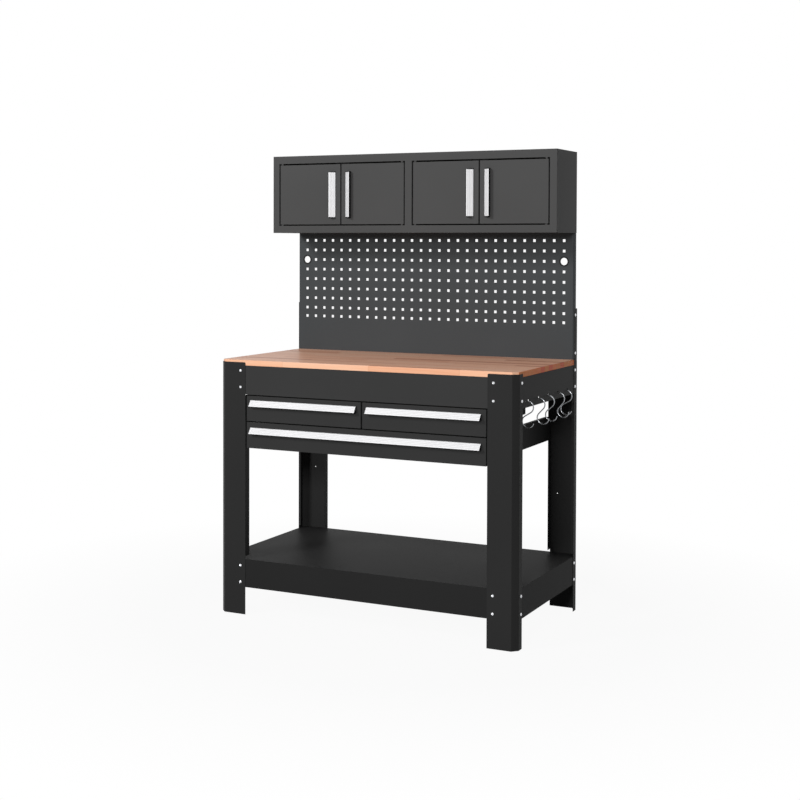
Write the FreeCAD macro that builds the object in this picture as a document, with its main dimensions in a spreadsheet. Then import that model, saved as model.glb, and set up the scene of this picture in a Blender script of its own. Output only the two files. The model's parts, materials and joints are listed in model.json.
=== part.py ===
"""Steel workbench with three drawers, a shelf, side hooks, a perforated back panel and a wall cabinet.

Lengths are millimetres. The bench is drawn with X to its right, Y to its rear and Z up; X is 0 on its
centre line, Y is 0 on the front face of the legs and Z is 0 on the floor. Every finished piece is then
moved together, so that the origin is the bottom centre of the whole object.
"""
import FreeCAD, Part
import math
import os
from collections import namedtuple

import Sketcher
from FreeCAD import Placement, Rotation, Vector

SIZES = {
    # bench outline
    "bench_width": 1145, "bench_depth": 641, "worktop_top": 922, "wood_thickness": 19.5,
    "wood_rounding": 1.5, "fit_gap": 0.5,
    # folded legs
    "leg_sheet": 1.5, "leg_top": 914, "leg_corner": 19.5, "leg_front_width": 106,
    "leg_side_width": 49, "leg_front_lip": 29, "leg_side_lip": 10, "lip_bottom": 212,
    "lip_top": 796, "tongue_top": 1108, "leg_bend": 2.5, "leg_top_rounding": 5,
    # thin folded panels
    "sheet": 1.2, "apron_bottom": 798, "apron_flange": 20, "apron_return": 8, "end_margin": 1,
    # lower shelf
    "shelf_top": 201.4, "shelf_height": 102.2, "stiffener_width": 80, "stiffener_depth": 28,
    "shelf_bend": 1,
    # perforated back panel
    "panel_front": 588.7, "panel_return": 20.8, "panel_lip": 12, "panel_corner": 5,
    "hole_size": 10, "hole_pitch": 38, "hole_columns": 29, "hole_rows": 8, "top_row": 1355.1,
    "last_row_step": 33.5, "cable_hole": 30, "cable_row": 2,
    "grommet_bore": 27, "grommet_flange": 36, "grommet_lip": 2, "grommet_play": 0.2,
    # drawers
    "drawer_recess": 2, "drawer_gap": 4, "drawer_middle_gap": 5.5, "drawer_side_gap": 5,
    "drawer_top_gap": 4, "drawer_front_depth": 16, "upper_drawer_bottom": 702.7,
    "lower_drawer_bottom": 605, "drawer_sheet": 1, "box_top_drop": 8, "box_bottom_lift": 9,
    "box_rear": 375, "pan_rounding": 1, "pan_lip": 16,
    # slides, rails and hangers
    "slide_thickness": 12.7, "slide_height": 45, "slide_sheet": 1.2, "slide_front": 28,
    "slide_length": 340, "slide_play": 0.4, "slide_step": 4.5, "slide_drop": 28,
    "rail_bottom": 617.7, "rail_height": 87.3, "rail_flange": 10, "hanger_bottom": 741,
    "hanger_flange": 25, "rail_sheet": 1.5,
    # pulls
    "pull_height": 21.5, "pull_reach": 18, "pull_top_reach": 4, "pull_wall": 1.6, "pull_lip": 4.5,
    "pull_drop": 15.5, "lower_pull_drop": 19, "pull_end": 16.3, "drawer_cap_thickness": 1.5,
    "door_pull_length": 175.6, "door_pull_inset": 21.5, "door_pull_lift": 28.8,
    "door_cap_thickness": 3.5,
    # wall cabinet
    "cabinet_front": 386, "cabinet_bottom": 1383.1, "cabinet_height": 294.3,
    "frame_bottom_rail": 27.5, "frame_top_rail": 29.2, "frame_stile": 26.3, "frame_mullion": 27.6,
    "frame_return": 30, "door_gap": 5, "door_top_gap": 5.5, "door_bottom_gap": 4.5,
    "door_recess": 1, "door_depth": 14, "pin_radius": 2.5, "pin_inset": 8, "pin_depth": 4,
    "pin_play": 0.08, "collar_radius": 4.5, "collar_play": 0.3, "pin_reach": 7, "catch_width": 26,
    "catch_height": 14, "catch_depth": 12, "catch_play": 0.4, "case_rounding": 1,
    # fasteners
    "bolt_radius": 3, "bolt_hole": 3.5, "head_radius": 5.25, "head_height": 3.3, "nut_flats": 10,
    "nut_height": 5, "thread_play": 0.05, "bolt_inset_front": 85.5, "bolt_inset_side": 40.5,
    "upper_bolt": 884, "middle_bolt": 824, "shelf_upper_bolt": 177, "shelf_lower_bolt": 117,
    "tongue_upper_bolt": 1084.6, "tongue_lower_bolt": 945.8, "rivet_radius": 2.5,
    "rivet_head": 5, "rivet_rise": 2, "rivet_inset": 15, "rail_rivet_margin": 10.5,
    "cabinet_bolt_out": 500, "cabinet_bolt_in": 120, "cabinet_bolt_margin": 47,
    # storage hooks
    "hook_wire": 4, "hook_radius": 20.5, "hook_offset": 3.6, "hook_shift": 16, "hook_fall": 44.5,
    "hook_pitch": 102, "hook_count": 5, "hook_centre": 311, "hook_play": 0.75,
    "hook_1_swing": 18, "hook_2_swing": 3, "hook_3_swing": 8, "hook_4_swing": 0, "hook_5_swing": 20,
    "slot_width": 9, "slot_height": 9, "slot_lift": 17,
    # small holes through the rear legs
    "hang_hole": 4, "hang_left_in": 51.5, "hang_left_up": 445.5,
    "hang_right_in": 78.3, "hang_right_up": 420.4,
}

HALF = 0.5
DIAGONAL = math.sqrt(2)

doc = FreeCAD.newDocument("workbench")
sheet = doc.addObject("Spreadsheet::Sheet", "sizes")
for row, (alias, number) in enumerate(SIZES.items(), 1):
    sheet.set(f"A{row}", alias)
    sheet.set(f"B{row}", str(number))
    sheet.setAlias(f"B{row}", alias)
doc.recompute()


class Size:
    """A length kept twice: as an expression on the sheet, and as its present value."""

    def __init__(self, text, value):
        self.text = text
        self.value = value

    def __add__(self, other):
        other = as_size(other)
        return Size(f"({self.text} + {other.text})", self.value + other.value)

    def __sub__(self, other):
        other = as_size(other)
        return Size(f"({self.text} - {other.text})", self.value - other.value)

    def __mul__(self, factor):
        return Size(f"({self.text} * {as_size(factor).text})", self.value * factor)

    def __neg__(self):
        return self * -1

    def __radd__(self, other):
        return as_size(other) + self

    def __rsub__(self, other):
        return as_size(other) - self


def as_size(value):
    """A plain number becomes a size of that value; a size stays as it is."""
    return value if isinstance(value, Size) else Size(f"({value:.9g})", float(value))


def size(alias):
    """The size that the sheet keeps under an alias."""
    return Size(f"sizes.{alias}", float(SIZES[alias]))


# Bench planes that several pieces share.
ZERO = as_size(0)
half_width = size("bench_width") * HALF
depth = size("bench_depth")
leg_sheet = size("leg_sheet")
thin = size("sheet")
wood_bottom = size("worktop_top") - size("wood_thickness")
inner_side = half_width - leg_sheet
panel_front = size("panel_front")
panel_rear = panel_front + size("panel_return")
leg_inner_edge = half_width - size("leg_front_width")
gap = size("fit_gap")

# The whole object reaches from the drawer pulls to the rear legs and from the left legs to the hooks.
drawer_face = size("drawer_recess")
front_reach = size("pull_reach") - drawer_face
hook_hang_x = inner_side - thin * HALF
hook_tip = (hook_hang_x + size("hook_offset") + size("hook_shift") + size("hook_radius")
            + size("hook_wire") * HALF)
bolt_reach = size("head_height")
origin_x = (hook_tip - half_width - bolt_reach) * HALF
origin_y = (depth + bolt_reach - front_reach) * HALF

Round = namedtuple("Round", "u v radius")
FACING = {"XY_Plane": 1, "YZ_Plane": 1, "XZ_Plane": -1}
nodes = []


def draw(body, plane, offset, shapes):
    """Sketch closed outlines and circles on one of the body's origin planes, every point bound."""
    sketch = body.newObject("Sketcher::SketchObject", "outline")
    support = next(part for part in body.Origin.OriginFeatures if part.Role == plane)
    sketch.AttachmentSupport = [(support, "")]
    sketch.MapMode = "FlatFace"
    sketch.setExpression("AttachmentOffset.Base.z", offset.text)
    geometry, joins, places = [], [], []
    for shape in shapes:
        first = len(geometry)
        if isinstance(shape, Round):
            centre = Vector(shape.u.value, shape.v.value, 0)
            geometry.append(Part.Circle(centre, Vector(0, 0, 1), shape.radius.value))
            places += [("DistanceX", first, 3, shape.u), ("DistanceY", first, 3, shape.v)]
            places.append(("Radius", first, None, shape.radius))
            continue
        corners = [Vector(u.value, v.value, 0) for u, v in shape]
        for step, (u, v) in enumerate(shape):
            following = (step + 1) % len(shape)
            geometry.append(Part.LineSegment(corners[step], corners[following]))
            joins.append(Sketcher.Constraint("Coincident", first + step, 2, first + following, 1))
            places += [("DistanceX", first + step, 1, u), ("DistanceY", first + step, 1, v)]
    sketch.addGeometry(geometry, False)
    if joins:
        sketch.addConstraint(joins)
    for kind, index, point, length in places:
        if kind == "Radius":
            bound = sketch.addConstraint(Sketcher.Constraint(kind, index, length.value))
        else:
            bound = sketch.addConstraint(Sketcher.Constraint(kind, -1, 1, index, point, length.value))
        sketch.setExpression(f"Constraints[{bound}]", length.text)
    return sketch


def prism(body, plane, shapes, low, high, cut=False):
    """Pad or pocket outlines between two places along the plane's normal."""
    low, high = as_size(low), as_size(high)
    facing = FACING[plane]
    start = low if (facing > 0) != cut else high
    feature = body.newObject("PartDesign::Pocket" if cut else "PartDesign::Pad",
                             "cut" if cut else "pad")
    sketch = draw(body, plane, start * facing, shapes)
    feature.Profile = sketch
    feature.setExpression("Length", (high - low).text)
    body.Tip = feature
    return feature


def rectangle(u0, v0, u1, v1):
    u0, v0, u1, v1 = (as_size(edge) for edge in (u0, v0, u1, v1))
    return [(u0, v0), (u1, v0), (u1, v1), (u0, v1)]


def folded(points, wall, side=1):
    """Outline of a folded sheet: its outer path, and the same path moved in by the wall.

    At each fold the inner corner lies on the mitre, the sum of the two unit normals over one plus
    their dot product, times the wall.
    """
    values = [(u.value, v.value) for u, v in points]
    normals = []
    for (u0, v0), (u1, v1) in zip(values, values[1:]):
        run = math.hypot(u1 - u0, v1 - v0)
        normals.append((-(v1 - v0) / run * side, (u1 - u0) / run * side))
    inner = []
    for index, (u, v) in enumerate(points):
        before = normals[max(index - 1, 0)]
        after = normals[min(index, len(normals) - 1)]
        share = 1 + before[0] * after[0] + before[1] * after[1]
        inner.append((u + wall * ((before[0] + after[0]) / share),
                      v + wall * ((before[1] + after[1]) / share)))
    return list(points) + inner[::-1]


def body_of(label):
    body = doc.addObject("PartDesign::Body", label)
    body.Label = label
    return body


def rounded(body, radius, chosen):
    """Fillet the edges of the body's last feature that the given test picks."""
    doc.recompute()
    base = body.Tip
    names = [f"Edge{number}" for number, edge in enumerate(base.Shape.Edges, 1) if chosen(edge)]
    feature = body.newObject("PartDesign::Fillet", "rounding")
    feature.Base = (base, names)
    feature.setExpression("Radius", radius.text)
    body.Tip = feature


def along(edge, axis):
    """Whether an edge is straight and runs along the given axis."""
    ends = [vertex.Point for vertex in edge.Vertexes]
    if len(ends) < 2:
        return False
    run = ends[1] - ends[0]
    return abs(abs(run[axis]) - run.Length) < 1e-6 and abs(edge.Length - run.Length) < 1e-6


def at(edge, **where):
    """Whether both ends of an edge lie at the given coordinates."""
    return all(abs(vertex.Point["xyz".index(name)] - place.value) < 1e-4
               for vertex in edge.Vertexes for name, place in where.items())


def finish(thing, label):
    """Name a finished piece and move it, with all the others, to the shared origin."""
    thing.Label = label
    thing.setExpression("Placement.Base.x", f"{thing.Placement.Base.x:.9g} - {origin_x.text}")
    thing.setExpression("Placement.Base.y", f"{thing.Placement.Base.y:.9g} - {origin_y.text}")
    nodes.append((label, thing))
    return thing


def group(label, members):
    """One node of separate identical solids."""
    compound = doc.addObject("Part::Compound", label)
    compound.Links = members
    return finish(compound, label)


# Legs: a wide front flange, a 45 degree corner, a side flange and two stiffening lips.
SIDES = {"left": -1, "right": 1}
ENDS = {"front": 1, "rear": -1}


def leg_point(side, end, u, w):
    """A bench point from its distance in from the leg's outer side and from its outer face."""
    u, w = as_size(u), as_size(w)
    return (half_width - u) * side, w if end > 0 else depth - w


def leg_region(side, end, u0, w0, u1, w1):
    return rectangle(*leg_point(side, end, u0, w0), *leg_point(side, end, u1, w1))


def bolt_levels(rear):
    """Heights of the bolts through the front or rear flange, and through the side flange."""
    flange = [size(name) for name in
              ("upper_bolt", "middle_bolt", "shelf_upper_bolt", "shelf_lower_bolt")]
    tongue = [size(name) for name in ("tongue_upper_bolt", "tongue_lower_bolt")] if rear else []
    return flange, flange + tongue


def rivet_places(*ends):
    """Rivets through the long drawer rail and the lips of the front and rear legs."""
    margin, inset = size("rail_rivet_margin"), size("rivet_inset")
    levels = [size("rail_bottom") + margin, size("rail_bottom") + size("rail_height") - margin]
    return [(inset if end > 0 else depth - inset, z) for end in ends for z in levels]


def make_leg(side_name, end_name):
    side, end = SIDES[side_name], ENDS[end_name]
    rear = end < 0
    label = f"leg_{end_name}_{side_name}"
    leg = body_of(label)
    corner, width, reach = size("leg_corner"), size("leg_front_width"), size("leg_side_width")
    path = [leg_point(side, end, ZERO, reach), leg_point(side, end, ZERO, corner),
            leg_point(side, end, corner, ZERO), leg_point(side, end, width, ZERO)]
    turn = -side * end
    prism(leg, "XY_Plane", [folded(path, leg_sheet, turn)], ZERO, size("leg_top"))
    prism(leg, "XY_Plane", [leg_region(side, end, width - leg_sheet, leg_sheet * HALF,
                                       width, size("leg_front_lip")),
                            leg_region(side, end, leg_sheet * HALF, reach - leg_sheet,
                                       size("leg_side_lip"), reach)],
          size("lip_bottom"), size("lip_top"))
    if rear:
        tongue_start = corner + leg_sheet
        prism(leg, "XY_Plane", [leg_region(side, end, ZERO, tongue_start, leg_sheet, reach)],
              size("leg_top") - leg_sheet, size("tongue_top"))
    face_y = leg_point(side, end, ZERO, ZERO)[1]
    back_y = leg_point(side, end, ZERO, leg_sheet)[1]
    flange_levels, side_levels = bolt_levels(rear)
    bolt_x = leg_point(side, end, size("bolt_inset_front"), ZERO)[0]
    holes = [Round(bolt_x, level, size("bolt_hole")) for level in flange_levels]
    if rear:
        inset, level = size(f"hang_{side_name}_in"), size(f"hang_{side_name}_up")
        holes.append(Round((half_width - inset) * side, level, size("hang_hole") * HALF))
    prism(leg, "XZ_Plane", holes, face_y if end > 0 else back_y, back_y if end > 0 else face_y,
          cut=True)
    bolt_y = leg_point(side, end, ZERO, size("bolt_inset_side"))[1]
    outer, inner = half_width * side, inner_side * side
    prism(leg, "YZ_Plane", [Round(bolt_y, level, size("bolt_hole")) for level in side_levels],
          inner if side > 0 else outer, outer if side > 0 else inner, cut=True)
    lip_edges = (leg_inner_edge * side, (leg_inner_edge + leg_sheet) * side)
    rivet_hole = size("rivet_radius") + size("thread_play")
    prism(leg, "YZ_Plane", [Round(y, z, rivet_hole) for y, z in rivet_places(end)],
          *(lip_edges if side > 0 else lip_edges[::-1]), cut=True)
    folds = [leg_point(side, end, ZERO, corner), leg_point(side, end, corner, ZERO)]
    rounded(leg, size("leg_bend"), lambda edge: along(edge, 2) and any(
        at(edge, x=x, y=y) for x, y in folds))
    crown = leg_point(side, end, width, ZERO)[0]
    rounded(leg, size("leg_top_rounding"), lambda edge: along(edge, 1) and at(
        edge, x=crown, z=size("leg_top")))
    finish(leg, label)


# Aprons: channels behind the leg flanges that carry the worktop.
def make_front_apron(end_name):
    end = ENDS[end_name]
    label = f"{end_name}_apron"
    apron = body_of(label)
    bottom, flange = size("apron_bottom"), size("apron_flange")

    def y_of(w):
        return w if end > 0 else depth - w
    path = [(y_of(leg_sheet + size("apron_return")), bottom), (y_of(leg_sheet), bottom),
            (y_of(leg_sheet), wood_bottom), (y_of(leg_sheet + flange), wood_bottom)]
    reach = inner_side - flange - size("end_margin")
    prism(apron, "YZ_Plane", [folded(path, thin, -end)], -reach, reach)
    levels = [size("upper_bolt"), size("middle_bolt")]
    bolt_x = half_width - size("bolt_inset_front")
    near, far = y_of(leg_sheet), y_of(leg_sheet + thin)
    prism(apron, "XZ_Plane", [Round(bolt_x * side, level, size("bolt_hole"))
                              for side in SIDES.values() for level in levels],
          near if end > 0 else far, far if end > 0 else near, cut=True)
    finish(apron, label)


def hook_places():
    """Where along the bench each hook hangs, from front to rear."""
    count = SIZES["hook_count"]
    middle = (count - 1) / 2
    return [size("hook_centre") + size("hook_pitch") * (index - middle) for index in range(count)]


hook_level = size("apron_bottom") + size("slot_lift")


def make_side_apron(side_name):
    side = SIDES[side_name]
    label = f"side_apron_{side_name}"
    apron = body_of(label)
    bottom, flange = size("apron_bottom"), size("apron_flange")
    outer = inner_side * side
    path = [((inner_side - size("apron_return")) * side, bottom), (outer, bottom),
            (outer, wood_bottom), ((inner_side - flange) * side, wood_bottom)]
    start = size("leg_corner") + leg_sheet + size("end_margin")
    prism(apron, "XZ_Plane", [folded(path, thin, side)], start, depth - start)
    web = (inner_side - thin) * side
    low, high = (web, outer) if side > 0 else (outer, web)
    inset = size("bolt_inset_side")
    levels = [size("upper_bolt"), size("middle_bolt")]
    slot = size("slot_width") * HALF
    cuts = [Round(y, level, size("bolt_hole")) for y in (inset, depth - inset) for level in levels]
    cuts += [rectangle(y - slot, hook_level, y + slot, hook_level + size("slot_height"))
             for y in hook_places()]
    prism(apron, "YZ_Plane", cuts, low, high, cut=True)
    finish(apron, label)


# Worktop and shelf share a rectangle with 45 degree corners inside the legs.
def cornered(side_gap, corner_gap):
    """Bench rectangle held in by a gap, with its corners cut along the inside of the leg corners."""
    edge = leg_sheet + side_gap
    cut = size("leg_corner") + (leg_sheet + corner_gap) * DIAGONAL - edge
    x, y0, y1 = half_width - edge, edge, depth - edge
    x_cut, y_front, y_rear = half_width - cut, cut, depth - cut
    return [(-x_cut, y0), (x_cut, y0), (x, y_front), (x, y_rear), (x_cut, y1), (-x_cut, y1),
            (-x, y_rear), (-x, y_front)]


def make_worktop():
    top = body_of("worktop")
    prism(top, "XY_Plane", [cornered(gap, gap)], wood_bottom, size("worktop_top"))
    rounded(top, size("wood_rounding"), lambda edge: at(edge, z=size("worktop_top")))
    finish(top, "worktop")


def make_shelf():
    shelf = body_of("lower_shelf")
    top, bottom = size("shelf_top"), size("shelf_top") - size("shelf_height")
    prism(shelf, "XY_Plane", [cornered(ZERO, gap)], top - thin, top)
    start = size("leg_corner") + leg_sheet + size("end_margin")
    x_end, y_end = half_width - start, depth - start
    walls = [rectangle(-x_end, leg_sheet, x_end, leg_sheet + thin),
             rectangle(-x_end, depth - leg_sheet - thin, x_end, depth - leg_sheet),
             rectangle(inner_side - thin, start, inner_side, y_end),
             rectangle(-inner_side, start, thin - inner_side, y_end)]
    prism(shelf, "XY_Plane", walls, bottom, top - thin * HALF)
    levels = [size("shelf_upper_bolt"), size("shelf_lower_bolt")]
    bolt_x, inset = half_width - size("bolt_inset_front"), size("bolt_inset_side")
    prism(shelf, "XZ_Plane", [Round(bolt_x * side, level, size("bolt_hole"))
                              for side in SIDES.values() for level in levels],
          ZERO, depth, cut=True)
    prism(shelf, "YZ_Plane", [Round(y, level, size("bolt_hole"))
                              for y in (inset, depth - inset) for level in levels],
          -half_width, half_width, cut=True)
    rounded(shelf, size("shelf_bend"), lambda edge: at(edge, z=top))
    finish(shelf, "lower_shelf")


def make_shelf_stiffener():
    """A hat channel under the shelf from one side flange to the other."""
    channel = body_of("shelf_stiffener")
    under = size("shelf_top") - thin
    foot = under - size("stiffener_depth")
    half = size("stiffener_width") * HALF
    inner = half - size("stiffener_depth") * HALF
    middle = depth * HALF
    path = [(middle - half, under), (middle - inner, under), (middle - inner, foot),
            (middle + inner, foot), (middle + inner, under), (middle + half, under)]
    reach = inner_side - thin
    prism(channel, "YZ_Plane", [folded(path, thin, -1)], -reach, reach)
    finish(channel, "shelf_stiffener")


# Perforated back panel, standing on the worktop between the tongues of the rear legs.
case_inner_top = size("cabinet_bottom") + size("cabinet_height") - thin


def make_back_panel():
    panel = body_of("back_panel")
    corner, lip = size("panel_corner"), size("panel_lip")
    right = [(inner_side - corner, panel_front), (inner_side, panel_front + corner),
             (inner_side, panel_rear), (inner_side - lip, panel_rear)]
    left = [(-x, y) for x, y in right[::-1]]
    prism(panel, "XY_Plane", [folded(left + right, thin, 1)], size("worktop_top"), case_inner_top)
    half_hole = size("hole_size") * HALF
    pitch = size("hole_pitch")
    columns, rows = SIZES["hole_columns"], SIZES["hole_rows"]
    first_x = pitch * (-(columns - 1) / 2)
    behind = panel_front + thin

    def hole_at(x, z):
        return rectangle(x - half_hole, z - half_hole, x + half_hole, z + half_hole)
    first = prism(panel, "XZ_Plane", [hole_at(first_x, size("top_row"))], panel_front, behind, cut=True)
    across = pattern(panel, first, "H_Axis", pitch * (columns - 1), "hole_columns")
    down = pattern(panel, first, "V_Axis", pitch * (rows - 1), "hole_rows", backwards=True)
    grid = panel.newObject("PartDesign::MultiTransform", "hole_grid")
    grid.Originals = [first]
    grid.Transformations = [across, down]
    panel.Tip = grid
    last_z = size("top_row") - pitch * (rows - 1) - size("last_row_step")
    last = prism(panel, "XZ_Plane", [hole_at(first_x, last_z)], panel_front, behind, cut=True)
    last_row = pattern(panel, last, "H_Axis", pitch * (columns - 1), "hole_columns")
    last_row.Originals = [last]
    panel.Tip = last_row
    prism(panel, "XZ_Plane", [Round(x, z, size("cable_hole") * HALF) for x, z in cable_places()],
          panel_front, behind, cut=True)
    prism(panel, "XZ_Plane", [Round(x, z, size("bolt_hole")) for x, z in cabinet_bolt_places()],
          panel_front, behind, cut=True)
    level_names = ("tongue_upper_bolt", "tongue_lower_bolt")
    prism(panel, "YZ_Plane", [Round(depth - size("bolt_inset_side"), size(name), size("bolt_hole"))
                              for name in level_names], -inner_side, inner_side, cut=True)
    finish(panel, "back_panel")


def pattern(body, original, axis, length, count, backwards=False):
    """A row of copies along an axis of the first copy's sketch."""
    row_of = body.newObject("PartDesign::LinearPattern", "copies")
    row_of.Direction = (original.Profile[0], [axis])
    row_of.Reversed = backwards
    row_of.setExpression("Length", length.text)
    row_of.setExpression("Occurrences", f"sizes.{count}")
    return row_of


def cable_places():
    """The cable holes take the place of the outermost square holes in one row."""
    x = size("hole_pitch") * ((SIZES["hole_columns"] - 1) / 2)
    z = size("top_row") - size("hole_pitch") * SIZES["cable_row"]
    return [(x * side, z) for side in SIDES.values()]


def cabinet_bolt_places():
    margin = size("cabinet_bolt_margin")
    levels = [size("cabinet_bottom") + margin, size("cabinet_bottom") + size("cabinet_height") - margin]
    return [(size(name) * side, level) for name in ("cabinet_bolt_out", "cabinet_bolt_in")
            for side in SIDES.values() for level in levels]


def make_grommets():
    members = []
    for x, z in cable_places():
        ring = body_of("grommet_ring")
        flange, neck = size("grommet_flange") * HALF, size("cable_hole") * HALF - size("grommet_play")
        lip, behind = size("grommet_lip"), panel_front + thin
        prism(ring, "XZ_Plane", [Round(x, z, neck)], panel_front - lip * HALF, behind + lip * HALF)
        prism(ring, "XZ_Plane", [Round(x, z, flange)], panel_front - lip, panel_front)
        prism(ring, "XZ_Plane", [Round(x, z, flange)], behind, behind + lip)
        prism(ring, "XZ_Plane", [Round(x, z, size("grommet_bore") * HALF)],
              panel_front - lip, behind + lip, cut=True)
        members.append(ring)
    group("cable_grommets", members)


# Drawers: where each front and box lies. The slides fit between box and rail or hanger.
slide_plane = leg_inner_edge - size("rail_sheet")
box_side = slide_plane - size("slide_thickness")
drawer_gap, middle_gap = size("drawer_gap"), size("drawer_middle_gap")
front_edge = leg_inner_edge - size("drawer_side_gap")
hanger_half = size("rail_sheet") * HALF
front_back = drawer_face + size("drawer_front_depth")
upper_top = size("apron_bottom") - size("drawer_top_gap")
lower_top = size("upper_drawer_bottom") - drawer_gap
Drawer = namedtuple("Drawer", "front_left front_right box_left box_right bottom top pull_drop")
DRAWERS = {
    "upper_left": Drawer(-front_edge, -middle_gap * HALF, -box_side,
                         -(hanger_half + size("slide_thickness")),
                         size("upper_drawer_bottom"), upper_top, size("pull_drop")),
    "upper_right": Drawer(middle_gap * HALF, front_edge, hanger_half + size("slide_thickness"),
                          box_side, size("upper_drawer_bottom"), upper_top, size("pull_drop")),
    "lower": Drawer(-front_edge, front_edge, -box_side, box_side, size("lower_drawer_bottom"),
                    lower_top, size("lower_pull_drop")),
}


def slide_centre(drawer):
    return drawer.top - size("slide_drop")


def pan(body, left, right, bottom, top, face, back, wall):
    """A shallow pan: a front sheet with four folded sides and a lip all round at the rear."""
    lip = size("pan_lip")
    prism(body, "XZ_Plane", [rectangle(left, bottom, right, top)], face, back)
    prism(body, "XZ_Plane", [rectangle(left + wall, bottom + wall, right - wall, top - wall)],
          face + wall, back - wall, cut=True)
    prism(body, "XZ_Plane", [rectangle(left + lip, bottom + lip, right - lip, top - lip)],
          back - wall, back, cut=True)


def pull_outline(place, filled=False):
    """Section of the aluminium pull: a flat web, a face that slopes outwards, and a turned lip.

    place(reach, height) turns a distance out from the panel and a height above the lip into the two
    coordinates of the sketch. A filled section is the silhouette, for the end caps.
    """
    height, reach, wall = size("pull_height"), size("pull_reach"), size("pull_wall")
    lip, top = size("pull_lip"), size("pull_top_reach")
    outside = [(ZERO, height), (top, height), (reach, lip * HALF), (reach, ZERO)]
    if filled:
        section = outside + [(ZERO, ZERO)]
    else:
        section = outside + [(reach - lip, ZERO), (reach - lip, wall), (reach - wall, wall),
                             (reach - wall, lip * HALF), (top - wall * HALF, height - wall),
                             (wall, height - wall), (wall, ZERO), (ZERO, ZERO)]
    return [place(out, up) for out, up in section]


def make_caps(label, plane, place, spans):
    """A black cap on each end of a pull."""
    caps = []
    for low, high in spans:
        cap = body_of("pull_cap")
        prism(cap, plane, [pull_outline(place, filled=True)], low, high)
        caps.append(cap)
    group(label, caps)


def make_drawer(name, drawer):
    front = body_of(f"drawer_{name}_front")
    pan(front, drawer.front_left, drawer.front_right, drawer.bottom, drawer.top,
        drawer_face, front_back, thin)
    rounded(front, size("pan_rounding"), lambda edge: at(edge, y=drawer_face))
    finish(front, f"drawer_{name}_front")

    box = body_of(f"drawer_{name}_box")
    wall = size("drawer_sheet")
    low, high = drawer.bottom + size("box_bottom_lift"), drawer.top - size("box_top_drop")
    rear = size("box_rear")
    prism(box, "XY_Plane", [rectangle(drawer.box_left, front_back, drawer.box_right, rear)], low, high)
    prism(box, "XY_Plane", [rectangle(drawer.box_left + wall, front_back + wall,
                                      drawer.box_right - wall, rear - wall)],
          low + wall, high, cut=True)
    finish(box, f"drawer_{name}_box")

    pull = body_of(f"drawer_{name}_pull")
    foot = drawer.top - drawer.pull_drop - size("pull_height")

    def place(out, up):
        return drawer_face - out, foot + up
    cap_left, cap_right = drawer.front_left + size("pull_end"), drawer.front_right - size("pull_end")
    cap = size("drawer_cap_thickness")
    pull_left, pull_right = cap_left + cap, cap_right - cap
    prism(pull, "YZ_Plane", [pull_outline(place)], pull_left, pull_right)
    finish(pull, f"drawer_{name}_pull")
    make_caps(f"drawer_{name}_pull_caps", "YZ_Plane", place,
              ((cap_left, pull_left), (pull_right, cap_right)))

    centre = slide_centre(drawer)
    inner, middle = [], []
    for plane, away in ((drawer.box_left, -1), (drawer.box_right, 1)):
        inner.append(slide_member("slide_inner", plane, away, centre, 2))
        middle.append(slide_member("slide_middle", plane, away, centre, 1))
    group(f"drawer_{name}_slide_inner", inner)
    group(f"drawer_{name}_slide_middle", middle)


def slide_member(label, box_plane, away, centre, level):
    """One channel of a telescopic slide: 0 is fixed, 1 is the middle one, 2 is on the drawer."""
    member = body_of(label)
    wall, play = size("slide_sheet"), size("slide_play")
    half = size("slide_height") * HALF - size("slide_step") * level
    thickness = size("slide_thickness")
    webs = {0: thickness, 1: thickness - wall - play, 2: ZERO}
    tips = {0: wall + play, 1: wall + play, 2: thickness - wall * 2 - play * 2}
    web, tip = box_plane + webs[level] * away, box_plane + tips[level] * away
    path = [(tip, centre + half), (web, centre + half), (web, centre - half), (tip, centre - half)]
    turn = -away if level < 2 else away
    start = size("slide_front")
    prism(member, "XZ_Plane", [folded(path, wall, turn)], start, start + size("slide_length"))
    return member


def make_slide_rails():
    """Fixed slide members, the long rails between the legs and the hangers under the worktop."""
    fixed = []
    for drawer in DRAWERS.values():
        for plane, away in ((drawer.box_left, -1), (drawer.box_right, 1)):
            fixed.append(slide_member("slide_outer", plane, away, slide_centre(drawer), 0))
    group("slide_outer_members", fixed)

    rail_sheet = size("rail_sheet")
    low, high = size("rail_bottom"), size("rail_bottom") + size("rail_height")
    start, lip = size("slide_front"), size("leg_front_lip")
    rails, hangers = [], []
    for side in SIDES.values():
        rail = body_of("drawer_rail")
        inner, outer = slide_plane * side, leg_inner_edge * side
        ends = (inner, outer) if side > 0 else (outer, inner)
        y_front, y_rear = leg_sheet + gap, depth - leg_sheet - gap
        prism(rail, "YZ_Plane", [rectangle(y_front, low, y_rear, high)], *ends)
        tip = (slide_plane - size("rail_flange")) * side
        flanges = [rectangle(tip, low, outer, low + rail_sheet),
                   rectangle(tip, high - rail_sheet, outer, high)]
        prism(rail, "XZ_Plane", flanges, lip, depth - lip)
        prism(rail, "YZ_Plane", [Round(y, z, size("rivet_radius") + size("thread_play"))
                                 for y, z in rivet_places(*ENDS.values())], *ends, cut=True)
        rails.append(rail)
        hangers.append(make_hanger(outer, side, start))
    hangers.append(make_hanger(hanger_half, 1, start))
    group("drawer_side_rails", rails)
    group("slide_hangers", hangers)


def make_hanger(web, side, start):
    """An angle that hangs from the worktop and carries the upper slides."""
    hanger = body_of("slide_hanger")
    path = [(web, size("hanger_bottom")), (web, wood_bottom),
            (web - size("hanger_flange") * side, wood_bottom)]
    prism(hanger, "XZ_Plane", [folded(path, size("rail_sheet"), side)],
          start, start + size("slide_length"))
    return hanger


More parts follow.
